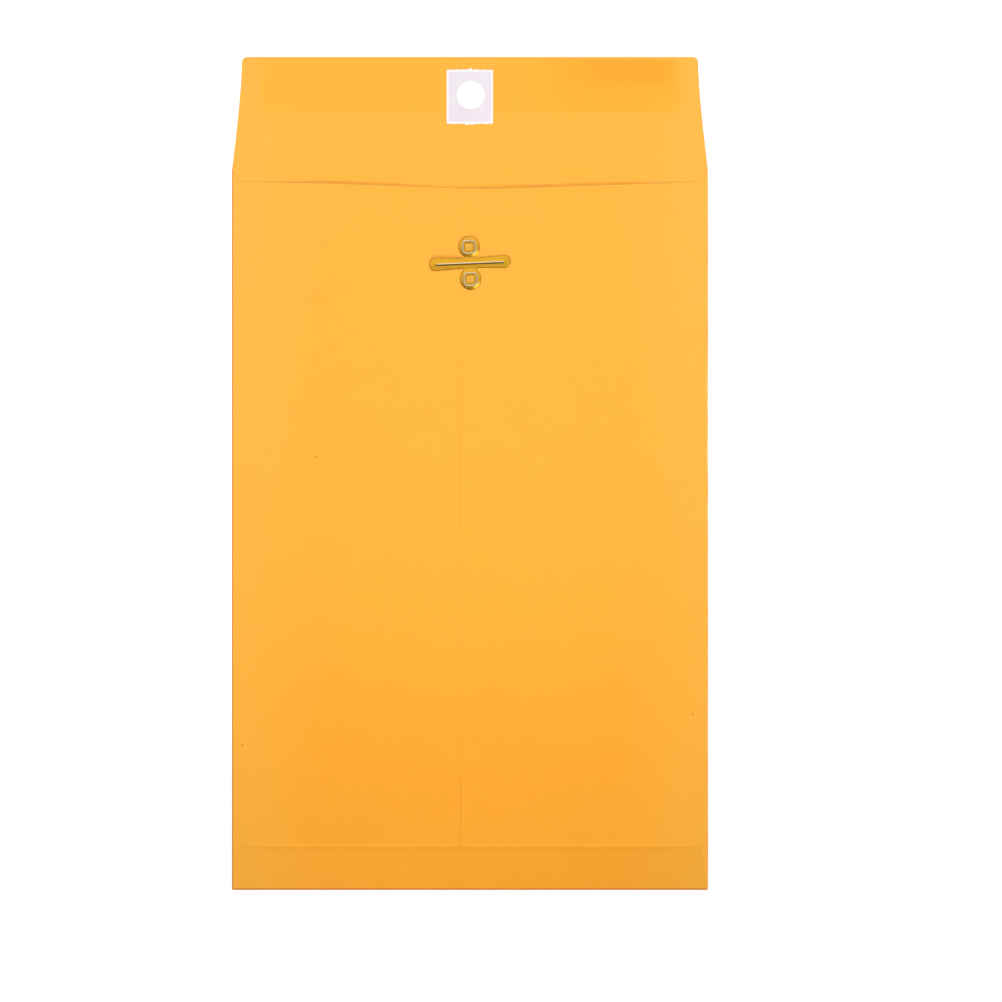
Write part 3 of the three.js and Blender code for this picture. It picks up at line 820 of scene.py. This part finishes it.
def side_panel(name, side, edge_x, underside, nodes):
    """A side fold and the side panel that it carries, drawn for a fold on the left, then mirrored."""
    fold_x = LEFT_X if side < 0 else -RIGHT_X
    bend = fold_x + FOLD_RADIUS
    edge = edge_x * -side
    low_edge = BOTTOM_Y + PAPER + 0.1 * MM
    fold_end = bend - FOLD_LENGTH
    sliver = fold_x + SLIVER_WIDTH
    panel_start = BOTTOM_Y + BOTTOM_RADIUS
    outline = [(fold_end, panel_start), (bend, panel_start), (bend, low_edge), (edge, low_edge)]
    outline += [(x, throat_y(x * -side)) for x in spaced(edge, sliver, GRID)]
    outline += [(sliver - LIP_RISE, LIP_START_Y), (fold_end, LIP_START_Y)]
    holes = [eyelet_hole(s) for s in (1, -1)]
    if side > 0:
        holes = [[(-x, y) for x, y in ring] for ring in holes]
    seam_strip = edge - SEAM_STRIP
    us = graded(fold_end, (bend, FOLD_LENGTH / FOLD_STEPS), (seam_strip, GRID), (edge, EDGE_GRID))
    press_end = FLAP_EDGE_Y + BOTTOM_PRESS_RAMP
    throat_strip = FOLD_Y - THROAT_STRIP
    runs = ((FLAP_EDGE_Y, GRID), (press_end, FINE_GRID), (throat_strip, GRID), (FOLD_Y, EDGE_GRID))
    vs = graded(panel_start, *runs)

    def joins_the_front(u, v):
        return u < fold_end + TINY

    def place(u, v, face):
        if u < bend:
            out, z = folded((bend - u) / FOLD_LENGTH, face, fold_radius(v), FOLD_RADIUS)
            return ((bend - out) * -side, v, z)
        x = u * -side
        low = low_z(v)
        z = low + (underside(x, v) - low) * smooth((u - bend) / PANEL_RISE_REACH) + PAPER * face
        if face == 0 and u > sliver + TINY and abs(v - throat_y(x)) < 10 * TINY:
            v += THROAT_SHEARED
        if face == 0 and u > edge - TINY:
            x -= side * SEAM_SHEARED
        return (x, v, z)

    piece = sheet(name, [outline] + holes, us, vs, place, KRAFT_FACES, joins_the_front, 0.04 * MM)
    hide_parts(*nodes)
    bend_with_mouth(piece, side)


def bottom_half(name, side):
    """One half of the bottom fold and bottom flap. The halves meet above the seam."""
    outer_x = side * (RIGHT_X - BOTTOM_FLAP_INSET)
    bend = BOTTOM_Y + BOTTOM_RADIUS
    fold_end = bend - BOTTOM_FOLD_LENGTH
    corner_x = side * (RIGHT_X - BOTTOM_FLAP_SLANT)
    round_y = FLAP_EDGE_Y - BOTTOM_FLAP_CORNER
    round_x = outer_x + (corner_x - outer_x) * (round_y - bend) / (FLAP_EDGE_Y - bend)
    corner = (corner_x, FLAP_EDGE_Y)
    corner_end = (corner_x - side * BOTTOM_FLAP_CORNER, FLAP_EDGE_Y)
    outline = [(outer_x, fold_end), (outer_x, bend)]
    outline += bezier((round_x, round_y), corner, corner, corner_end, 8)
    outline += [(SEAM_X, FLAP_EDGE_Y), (SEAM_X, fold_end)]
    us = spaced(SEAM_X, outer_x, GRID)
    squeeze_start = FLAP_EDGE_Y - BOTTOM_EDGE_REACH
    fold_step = BOTTOM_FOLD_LENGTH / FOLD_STEPS
    vs = graded(fold_end, (bend, fold_step), (squeeze_start, 1.5 * MM), (FLAP_EDGE_Y, 0.25 * MM))

    def joins_the_sheet(u, v):
        return v < fold_end + TINY or abs(u - SEAM_X) < TINY

    def place(u, v, face):
        if v >= bend:
            if face == 0 and abs(v - FLAP_EDGE_Y) < TINY:
                v += BOTTOM_FLAP_SHEARED
            squeeze = 1 - BOTTOM_SQUEEZE * smooth((v - FLAP_EDGE_Y) / BOTTOM_EDGE_REACH + 1)
            return (u, v, bottom_flap_z(u, min(v, FLAP_EDGE_Y)) + PAPER * face * squeeze)
        radius = (bottom_flap_z(u, bend) + PAPER) / 2
        out, z = folded((bend - v) / BOTTOM_FOLD_LENGTH, face, radius, BOTTOM_RADIUS)
        return (u, bend - out, z)

    faces = [KRAFT_BOTTOM, BOTTOM_CUT_EDGE_AND_HIGHLIGHT]
    piece = sheet(name, [outline], us, vs, place, faces, joins_the_sheet, 0.04 * MM)
    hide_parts("bottom_fold", "bottom_flap")
    bend_with_mouth(piece, side)


def flap_lip(name, side):
    """The folded-over strip from a side fold's end to the flap's shoulder, where it fades out."""
    end_y = FOLD_Y + FLAP_SHOULDER
    rows = spaced(LIP_START_Y + 0.02 * MM, end_y, 0.3 * MM)
    radius = CRUSHED_FOLD_RADIUS
    wrap = math.pi * (radius - PAPER / 2)
    points = []
    for y in rows:
        remaining = (end_y - y) / (end_y - rows[0])
        width = wrap + (SLIVER_WIDTH - FOLD_RADIUS) * remaining + 0.1 * MM
        for i in range(LIP_STEPS + 1):
            along = width * i / LIP_STEPS
            for face in (1, 0):
                if along > wrap:
                    out, z = wrap - along, 2 * radius - PAPER * (1 - face)
                else:
                    out, z = folded(1 - along / wrap, face, radius, radius)
                points.append((side * (RIGHT_X - radius + out), y, z))
    size = 2 * (LIP_STEPS + 1)
    faces = []
    for j in range(len(rows) - 1):
        for i in range(LIP_STEPS):
            for face in (0, 1):
                a = j * size + 2 * i + face
                faces.append((a, a + 2, a + 2 + size, a + size))
        a = j * size + 2 * LIP_STEPS
        faces.append((a, a + 1, a + 1 + size, a + size))
    piece = mesh_object(name, points, faces, KRAFT_FACES)
    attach(piece, "flap")


# What lies on the flap

GUM_GRID = 4 * MM
GUM_WAVER = 0.16 * MM
GUM_SUNK = 0.1
PATCH_CORNER = 0.15 * MM
PATCH_LIFT = 0.005 * MM
PATCH_THINNED = 0.9

# Where the patch's torn top and bottom edges stand out: place across, height and half width in mm
TOP_TEARS = (
    (-6.3, 0.12, 0.5), (-4.1, 0.16, 0.7), (-2.0, 0.2, 0.8),
    (0.1, 0.48, 0.75), (1.9, 0.3, 0.5), (4.4, 0.1, 0.6),
)
BOTTOM_TEARS = (
    (-4.6, 0.1, 0.6), (-0.9, 0.42, 0.7), (0.7, 0.36, 0.6), (2.3, 0.12, 0.5), (5.2, 0.1, 0.7),
)


def gum_strip(name, side, node, gum):
    """A film of dried gum, with a slightly wavering outline, sunk a little into the paper."""
    low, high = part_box(node)
    us = spaced(low.x, high.x, GUM_GRID)
    vs = spaced(low.y, high.y, GUM_GRID)
    middle = Vector(((low.x + high.x) / 2, (low.y + high.y) / 2))
    outline = []
    for x, y in with_grid_points(rounded_rectangle(low.x, low.y, high.x, high.y, 2 * MM, 6), us, vs):
        push = GUM_WAVER * math.sin(x / (3.1 * MM) + 2 * side) * math.sin(y / (4.3 * MM) + 1)
        outward = (Vector((x, y)) - middle).normalized()
        outline.append((x + outward.x * push, y + outward.y * push))
    thickness = high.z - low.z

    def place(u, v, face):
        return (u, v, PAPER + thickness * (face - GUM_SUNK))

    piece = film(name, node, outline, GUM_GRID, GUM_GRID, place, [gum])
    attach(piece, "flap")


def torn(x, tears):
    """How far a torn edge stands out at x."""
    bumps = (height * MM * math.exp(-((x / MM - place) / width) ** 4) for place, height, width in tears)
    ragged = 0.05 * math.sin(5.1 * x / MM) + 0.04 * math.sin(11.7 * x / MM + 1)
    return sum(bumps) + ragged * MM


def reinforcement_patch():
    """White paper round the hole, with cut sides and torn top and bottom edges."""
    low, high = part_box("reinforcement_patch")
    across = spaced(low.x + 0.2 * MM, high.x - 0.2 * MM, 0.2 * MM)
    outline = [(x, low.y - torn(x, BOTTOM_TEARS)) for x in across]
    outline += [(high.x, low.y + PATCH_CORNER), (high.x, high.y - PATCH_CORNER)]
    outline += [(x, high.y + torn(x, TOP_TEARS)) for x in reversed(across)]
    outline += [(low.x, high.y - PATCH_CORNER), (low.x, low.y + PATCH_CORNER)]
    thickness = PATCH_THINNED * (high.z - low.z)

    def place(u, v, face):
        return (u, v, PAPER + PATCH_LIFT + thickness * face)

    name, node = "reinforcement_paper", "reinforcement_patch"
    faces = [patch_material(low, high)]
    holes = [clasp_hole()]
    piece = film(name, node, outline, 1 * MM, 1 * MM, place, faces, holes, 0.3 * MM)
    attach(piece, "flap")


# The glues

def between(lower, upper, face):
    """Height of a glue's lower or upper face, just clear of the sheets that it joins."""
    return lower + GLUE_CLEAR + (upper - lower - 2 * GLUE_CLEAR) * face


def seam_glue(paste):
    """The strip of glue between the two side panels, which shows from the open mouth only."""
    low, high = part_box("seam_adhesive")

    def place(u, v, face):
        return (u, v, between(swell(u, v) + PAPER, upper_panel(u, v), face))

    outline = rounded_rectangle(low.x, low.y, high.x, high.y, 1.6 * MM)
    piece = film("seam_glue", "seam_adhesive", outline, 2 * MM, GRID, place, [paste])
    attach(piece, "back_wall")


def bottom_glue(name, side, paste):
    """Half of the glue under the bottom flap."""
    low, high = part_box("bottom_adhesive")
    outer_x = low.x if side < 0 else high.x
    ends = sorted((SEAM_X, outer_x))
    outline = [(ends[0], low.y), (ends[1], low.y), (ends[1], high.y), (ends[0], high.y)]

    def place(u, v, face):
        panel = swell if u < SEAM_X + TINY else upper_panel
        return (u, v, between(panel(u, v) + PAPER, bottom_flap_z(u, v), face))

    us = spaced(*ends, GRID)
    vs = spaced(low.y, high.y, GRID)
    piece = sheet(name, [outline], us, vs, place, [paste])
    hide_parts("bottom_adhesive")
    bend_with_mouth(piece, side)


# The clasp's pieces

def clasp_outline():
    """The whole stamping, anticlockwise: two lobes, their necks and both prongs."""
    upper = math.degrees(math.asin(NECK_UPPER / LOBE_RADIUS))
    lower = math.degrees(math.asin(NECK_LOWER / LOBE_RADIUS))
    neck_y = PRONG_ROOT + NECK_FILLET
    tip = arc(PRONG_END - PRONG_TIP, 0, PRONG_TIP, -90, 90, 22)
    right = [(NECK_LOWER, -neck_y), (NECK_LOWER + NECK_FILLET, -PRONG_ROOT)]
    upper_root = (NECK_UPPER + NECK_FILLET, PRONG_ROOT)
    right += with_steps(right[-1], tip[0]) + tip + with_steps(tip[-1], upper_root)
    right += [upper_root, (NECK_UPPER, neck_y)]
    left = [(-x, y) for x, y in reversed(right)]
    lower_lobe = arc(0, -LOBE_Y, LOBE_RADIUS, 90 + lower, 450 - lower, 44)
    upper_lobe = arc(0, LOBE_Y, LOBE_RADIUS, upper - 90, 270 - upper, 44)
    return lower_lobe + right + upper_lobe + left


def with_steps(start, end):
    """The points between two ends of a straight side, without the ends."""
    (ax, ay), (bx, by) = start, end
    count = max(1, math.ceil(math.dist(start, end) / OUTLINE_STEP))
    return [(ax + (bx - ax) * i / count, ay + (by - ay) * i / count) for i in range(1, count)]


def inset(ring, depth):
    """The ring moved inwards, for a ring that runs anticlockwise."""
    moved = []
    for before, here, after in zip(ring[-1:] + ring[:-1], ring, ring[1:] + ring[:1]):
        along = Vector(after) - Vector(before)
        inward = Vector((-along.y, along.x)).normalized()
        moved.append((here[0] + inward.x * depth, here[1] + inward.y * depth))
    return moved


def rib_height(x, y):
    """A rounded rib along the prongs, with round ends."""
    beyond = max(abs(x) - RIB_END + RIB_HALF_WIDTH, 0)
    away = math.hypot(beyond, y) / RIB_HALF_WIDTH
    return RIB_HEIGHT * 0.5 * (1 + math.cos(math.pi * away)) if away < 1 else 0.0


def stamping_top(x, y, from_edge):
    """Height of the stamping's upper face over the paper."""
    height = BRASS_SHEET
    for side in (1, -1):
        from_lobe = math.hypot(x, y - side * LOBE_Y)
        height += LOBE_CROWN * smooth((LOBE_RADIUS - from_lobe) / LOBE_CROWN_REACH)
    if abs(y) < PRONG_TIP:
        height += PRONG_CROWN * smooth(1 - abs(y) / PRONG_TIP)
    height += rib_height(x, y)
    into = max(BRASS_ROUND - from_edge, 0)
    return height - BRASS_ROUND + math.sqrt(max(BRASS_ROUND ** 2 - into ** 2, 0))


def stamping():
    """The brass cross, cut along the two hinge lines: yields the plate and both prongs.

    A face's kind is its place in the clasp's metals: brass, brass with a painted highlight on the rib's
    crest, or brass with painted shade along the edges."""
    outline = clasp_outline()
    openings = [[(x, y + side * LOBE_Y) for x, y in opening_ring(0.1 * MM, 5)] for side in (1, -1)]
    across = spaced(-2 * MM, 2 * MM, FINE_GRID)
    cuts = [[(side * PRONG_HINGE, y) for y in across] for side in (1, -1)]
    lines = [inset(outline, BRASS_ROUND * share) for share in BRASS_ROUND_LINES]
    us = spaced(-PRONG_END, PRONG_END, 0.4 * MM)
    fine = spaced(-PRONG_TIP, PRONG_TIP, FINE_GRID)
    coarse = spaced(PRONG_TIP, LOBE_Y + LOBE_RADIUS, 0.3 * MM)[1:]
    vs = [-v for v in reversed(coarse)] + fine + coarse
    flat, triangles = triangulate([outline, *openings], us, vs, 0.035 * MM, lines + cuts)
    from_edge = ring_distance(flat, outline)
    top = [clasp_place(x, y, stamping_top(x, y, d)) for (x, y), d in zip(flat, from_edge)]
    bottom = [clasp_place(x, y, BRASS_LIFT + stamping_top(x, y, 1) - BRASS_SHEET) for x, y in flat]
    walls = border(triangles)

    def part_at(corners):
        """-1 in the left prong, 1 in the right one and 0 in the plate, which has the lobes whole."""
        x, y = (sum(flat[i][axis] for i in corners) / len(corners) for axis in (0, 1))
        return 0 if abs(y) > PRONG_TIP + 0.2 * MM or abs(x) < PRONG_HINGE else math.copysign(1, x)

    def kind_at(corners):
        # Painted highlight on the rib's crest, and painted shade along the stamping's edge
        if min(rib_height(*flat[i]) for i in corners) > RIB_HIGHLIGHT_HEIGHT:
            return 1
        return 2 if max(from_edge[i] for i in corners) < BRASS_ROUND else 0

    for name, part in (("clasp_plate", 0), ("prong_left", -1), ("prong_right", 1)):
        own = [t for t in triangles if part_at(t) == part]
        own_walls = [w for w in walls if part_at(w) == part]
        used = sorted({i for t in own for i in t})
        new = {old: i for i, old in enumerate(used)}
        count = len(used)
        faces = [tuple(new[i] for i in t) for t in own]
        faces += [tuple(new[i] + count for i in reversed(t)) for t in own]
        faces += [(new[b], new[a], new[a] + count, new[b] + count) for a, b in own_walls]
        points = [top[i] for i in used] + [bottom[i] for i in used]
        kinds = [kind_at(t) for t in own]
        yield name, points, faces, kinds + [0] * (len(faces) - len(own))


# The eyelet's wall from the rolled rim's foot over its top and down to the flare below the paper,
# in mm: distance outwards from the opening and height over the paper that the clasp lies on
EYELET_PROFILE = (
    (1.1, 0.28), (1.02, 0.29), (0.95, 0.33), (0.87, 0.4), (0.79, 0.44), (0.7, 0.45), (0.61, 0.44),
    (0.53, 0.4), (0.46, 0.32), (0.42, 0.18), (0.37, 0.02), (0.29, -0.14), (0.19, -0.28),
    (0.08, -0.4), (0.0, -0.48), (0.02, -0.53), (0.14, -0.555), (0.3, -0.555), (0.42, -0.54),
    (0.42, -0.46), (0.34, -0.34), (0.42, -0.22), (0.5, -0.06), (0.56, 0.1), (0.62, 0.2),
)
# Where the rim gets a painted highlight, by its height, and where its wall gets painted shade, by its
# distance, in mm too
RIM_HIGHLIGHT_HEIGHT = 0.4
SHADED_WALL_DISTANCE = 0.5


def eyelet(side):
    """A square rolled rim, the tube below it and four teeth bent out against the inside of the back."""
    rings = [
        [clasp_place(x, y + side * LOBE_Y, z * MM) for x, y in opening_ring(out * MM, 6)]
        for out, z in EYELET_PROFILE
    ]
    size = len(rings[0])
    points = [p for ring in rings for p in ring]
    faces = joined(0, size, len(rings), closed=True)
    kinds = []
    for (out, z), (next_out, next_z) in zip(EYELET_PROFILE, EYELET_PROFILE[1:] + EYELET_PROFILE[:1]):
        # Painted shade down the eyelet's inner wall, and painted highlight on the rim's crest
        kind = 2 if max(out, next_out) < SHADED_WALL_DISTANCE else 0
        kinds += [1 if min(z, next_z) >= RIM_HIGHLIGHT_HEIGHT else kind] * size
    for quarter in range(4):
        tooth(side, quarter * 90, points, faces)
    return points, faces, kinds + [0] * (len(faces) - len(kinds))


TOOTH_START = 0.15 * MM
TOOTH_LENGTH = 1.9 * MM
TOOTH_ROOT_HALF = 1.25 * MM
TOOTH_TIP_HALF = 0.12 * MM
TOOTH_THICKNESS = 0.13 * MM
TOOTH_Z = -0.54 * MM
TOOTH_CURL = 0.06 * MM
TOOTH_ROWS = 6


def tooth(side, angle, points, faces):
    """One pointed tooth, curling slightly up into the paper at its tip."""
    first = len(points)
    turn = Matrix.Rotation(math.radians(angle), 3, "Z")
    start = EYELET_OPENING / 2 + TOOTH_START
    for i in range(TOOTH_ROWS + 1):
        share = i / TOOTH_ROWS
        half = TOOTH_ROOT_HALF * (1 - share) + TOOTH_TIP_HALF * share
        z = TOOTH_Z + TOOTH_CURL * share * share
        for y, lift in ((-half, 0), (half, 0), (half, TOOTH_THICKNESS), (-half, TOOTH_THICKNESS)):
            local = turn @ Vector((start + TOOTH_LENGTH * share, y, z + lift))
            points.append(clasp_place(local.x, local.y + side * LOBE_Y, local.z))
    faces += joined(first, 4, TOOTH_ROWS + 1)
    last = first + 4 * TOOTH_ROWS
    faces.append((first, first + 1, first + 2, first + 3))
    faces.append((last + 3, last + 2, last + 1, last))


def clasp(metals):
    """The plate with its two eyelets, and the prongs, in brass, brass painted with highlights and brass
    painted with shade.
    """
    pieces = {}
    for name, points, faces, kinds in stamping():
        for side in (1, -1) if name == "clasp_plate" else ():
            more_points, more_faces, more_kinds = eyelet(side)
            faces += [tuple(i + len(points) for i in face) for face in more_faces]
            points += more_points
            kinds += more_kinds
        pieces[name] = mesh_object(name, points, faces, metals, kinds, sharp=50)
    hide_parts("clasp_base")
    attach(pieces["clasp_plate"], "back_wall")
    for side, word in SIDES:
        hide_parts(f"clasp_prong_{word}")
        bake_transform(pieces[f"prong_{word}"])


front_and_flap()
for side, word in SIDES:
    flap_lip(f"flap_lip_{word}", side)
side_panel("left_back_panel", -1, HIDDEN_EDGE_X, swell, ("left_side_fold", "left_side_panel"))
side_panel("right_back_panel", 1, SEAM_X, upper_panel, ("right_side_fold", "right_side_panel"))
for side, word in SIDES:
    bottom_half(f"bottom_flap_{word}_half", side)
GUM = gum_material()
for side, word in SIDES:
    gum_strip(f"gum_film_{word}", side, f"gum_strip_{word}", GUM)
reinforcement_patch()
PASTE = glue_material()
seam_glue(PASTE)
for side, word in SIDES:
    bottom_glue(f"bottom_glue_{word}_half", side, PASTE)
# Brass, brass painted with highlights on its crests, and brass painted with shade in the eyelets' walls
# and along the edges
clasp([
    brass_material("brass", BRASS, BRASS_TARNISHED),
    brass_material("brass_painted_highlight", BRASS_HIGHLIGHT, scaled(BRASS_HIGHLIGHT, 0.9)),
    brass_material("brass_painted_shade", BRASS_SHADE, scaled(BRASS_SHADE, 0.6)),
])


# Stage, lights and camera

VIEW_WIDTH = 320.7 * MM
VIEW_X = 9.91 * MM
VIEW_Y = -8.82 * MM
CAMERA_DISTANCE = 2.4
TABLE_SIZE = 6
TABLE_GREY = (0.3, 0.3, 0.3)
TABLE_GLOW = 0.82


def table():
    """A pale table that the camera and the metal see as white, with the envelope's shadow kept."""
    bpy.ops.mesh.primitive_plane_add(size=TABLE_SIZE, location=(0, 0, -0.1 * MM))
    top = bpy.context.object
    top.name = "table_top"
    white = Surface("table_white", TABLE_GREY, 0.9)
    grain = white.mix(white.noise(40, 2), (0.29, 0.29, 0.29), TABLE_GREY)
    grey = white.add("BsdfDiffuse", {"Color": grain})
    glow = white.add("Emission", {"Strength": TABLE_GLOW})
    bright = white.add("AddShader", {0: glow, 1: grey})
    paths = white.tree.nodes.new("ShaderNodeLightPath").outputs
    seen = white.math("MAXIMUM", paths["Is Camera Ray"], paths["Is Glossy Ray"])
    seen = white.math("MAXIMUM", seen, paths["Is Transmission Ray"])
    chosen = white.add("MixShader", {0: seen, 1: white.shader.outputs[0], 2: bright})
    white.put(white.tree.nodes["Material Output"].inputs["Surface"], chosen)
    top.data.materials.append(white.data)


# The room's own light: dim walls, and a wide soft ceiling light that leans along Y
WALL_LIGHT = 0.15
CEILING_LIGHT = 1.05
CEILING_LEAN = math.radians(28)
CEILING_INNER = math.radians(12)
CEILING_OUTER = math.radians(45)
WINDOW_TOP = 0.62
WINDOW_BOTTOM = 0.38
WINDOW_LIGHT = 0.6


def studio():
    """The world: soft light from overhead, and a white background for the camera."""
    world = bpy.data.worlds.new("studio")
    bpy.context.scene.world = world
    world.use_nodes = True
    room = Nodes(world.node_tree, "Generated")
    paths = room.tree.nodes.new("ShaderNodeLightPath").outputs
    mirrored = paths["Is Glossy Ray"]

    # Metal mirrors a ceiling light that leans towards the flap. Paper is lit by one that leans away.
    lean = room.range(mirrored, 0, 1, -math.sin(CEILING_LEAN), math.sin(CEILING_LEAN), "LINEAR")
    axis = room.add("CombineXYZ", {"Y": lean, "Z": math.cos(CEILING_LEAN)})
    towards = room.add("VectorMath", {0: room.place, 1: axis}, "Value", operation="DOT_PRODUCT")
    level = room.range(
        towards, math.cos(CEILING_OUTER), math.cos(CEILING_INNER), WALL_LIGHT, CEILING_LIGHT
    )

    # Bright windows low down, for metal that is seen from the side
    windows = room.range(room.axis("Z"), WINDOW_TOP, WINDOW_BOTTOM, 0, WINDOW_LIGHT, "LINEAR")
    level = room.math("MAXIMUM", level, room.times(windows, mirrored))
    for path in ("Is Camera Ray", "Is Transmission Ray"):
        level = room.math("MAXIMUM", level, paths[path])
    background = room.tree.nodes["Background"]
    room.put(background.inputs["Color"], (1, 1, 1))
    room.put(background.inputs["Strength"], level)


def beam(name, place, target, radius, cone, power, mirrored=False):
    """A round lamp with a soft-edged beam: its cone is in degrees and its power in watts.

    The metal mirrors a mirrored lamp, which lights nothing else, and no other lamp."""
    light = bpy.data.lights.new(name, "SPOT")
    light.shadow_soft_size = radius
    light.spot_size = math.radians(cone)
    light.spot_blend = 1.0
    light.energy = power
    lamp = bpy.data.objects.new(name, light)
    lamp.location = place
    lamp.visible_glossy = mirrored
    lamp.visible_diffuse = not mirrored
    lamp.rotation_euler = (Vector(target) - Vector(place)).to_track_quat("-Z", "Y").to_euler()
    bpy.context.scene.collection.objects.link(lamp)


def camera():
    """A camera straight above, wide enough to show VIEW_WIDTH."""
    data = bpy.data.cameras.new("camera")
    data.sensor_width = 36
    data.lens = data.sensor_width * CAMERA_DISTANCE / VIEW_WIDTH
    eye = bpy.data.objects.new("camera", data)
    eye.location = (VIEW_X, VIEW_Y, CAMERA_DISTANCE)
    bpy.context.scene.collection.objects.link(eye)
    bpy.context.scene.camera = eye


table()
studio()
beam("high_beam_left", (-0.12, 0.6, 1.0), (-0.045, 0.1, 0), 0.25, 20, 43)
beam("high_beam_right", (0.12, 0.6, 1.0), (0.045, 0.1, 0), 0.25, 20, 43)
beam("low_beam", (0, -1.3, 0.62), (0, 0.7, 0), 0.14, 31, 85)
beam("right_lamp", (0.95, 0.1, 0.5), (0, 0, 0), 0.1, 60, 6)
beam("left_lamp", (-0.75, 0.1, 0.75), (0, 0, 0), 0.12, 60, 1.5)
beam("glint_lamp", (0.2, -0.12, 1.1), (0, 0.067, 0), 0.12, 60, 1.1, mirrored=True)
camera()
bpy.context.scene.view_settings.view_transform = "Standard"
